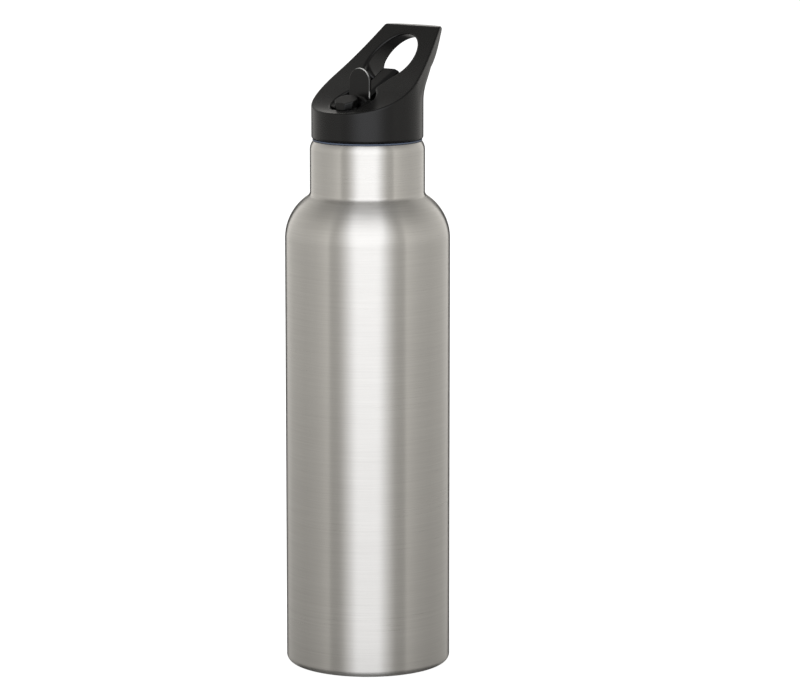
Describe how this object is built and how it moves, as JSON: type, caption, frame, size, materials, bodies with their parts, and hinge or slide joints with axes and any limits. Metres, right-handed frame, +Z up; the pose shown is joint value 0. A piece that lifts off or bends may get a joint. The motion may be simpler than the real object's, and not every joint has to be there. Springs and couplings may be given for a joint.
{
  "type": "water bottle",
  "caption": "Double-wall steel drinking bottle with a round shoulder and a screw-on black lid that has a slanted face, a flip-up spout with thumb tab, and a carry loop.",
  "frame": {"origin": "centre of the bottle's foot, on the surface that it stands on", "axes": "+Z up along the bottle's axis; +Y towards the carry loop, -Y towards the lid's low front lip; +X along the spout's hinge"},
  "size_m": [0.073, 0.0744, 0.2833],
  "materials": {
    "brushed_steel": "brushed around the axis",
    "inner_steel": "electropolished satin",
    "polished_steel": "spun satin",
    "black_plastic": "satin moulded",
    "insert_plastic": "plain moulded",
    "silicone": "matt silicone",
    "slate_silicone": "matt silicone",
    "straw_plastic": "clear to milky extruded",
    "pin_steel": "drawn",
    "solder_glass": "fused solder glass",
    "getter_alloy": "sintered"
  },
  "bodies": {
    "bottle": {"outer_shell": "brushed_steel", "inner_liner": "inner_steel", "outer_base": "brushed_steel", "base_cover": "polished_steel", "vacuum_seal": "solder_glass", "getter": "getter_alloy"},
    "neck_ring": {"neck_ring": "slate_silicone"},
    "mouth_gasket": {"mouth_gasket": "silicone"},
    "lid": {"lid_shell": "black_plastic", "lid_insert": "insert_plastic", "spout_seal": "silicone", "vent_valve": "silicone", "straw": "straw_plastic", "spout_pin_left": "pin_steel", "spout_pin_right": "pin_steel"},
    "spout": {"spout": "black_plastic"}
  },
  "joints": [
    {"name": "lid_lift_off", "type": "slide", "parent": "bottle", "child": "neck_ring", "axis": [0, 0, 1], "range_m": [0, 0.24]},
    {"name": "lid_rise", "type": "slide", "parent": "neck_ring", "child": "mouth_gasket", "axis": [0, 0, 1], "range_m": [0, 0.0061]},
    {"name": "lid_unscrew", "type": "hinge", "parent": "mouth_gasket", "child": "lid", "pos_m": [0, 0, 0.2354], "axis": [0, 0, 1], "range_deg": [0, 540]},
    {"name": "spout_flip", "type": "hinge", "parent": "lid", "child": "spout", "pos_m": [0, -0.0125, 0.249], "axis": [1, 0, 0], "range_deg": [0, 85]}
  ],
  "couplings": [
    {"joint": "lid_rise", "follows": "lid_unscrew", "m_per_rad": 0.00063662}
  ]
}
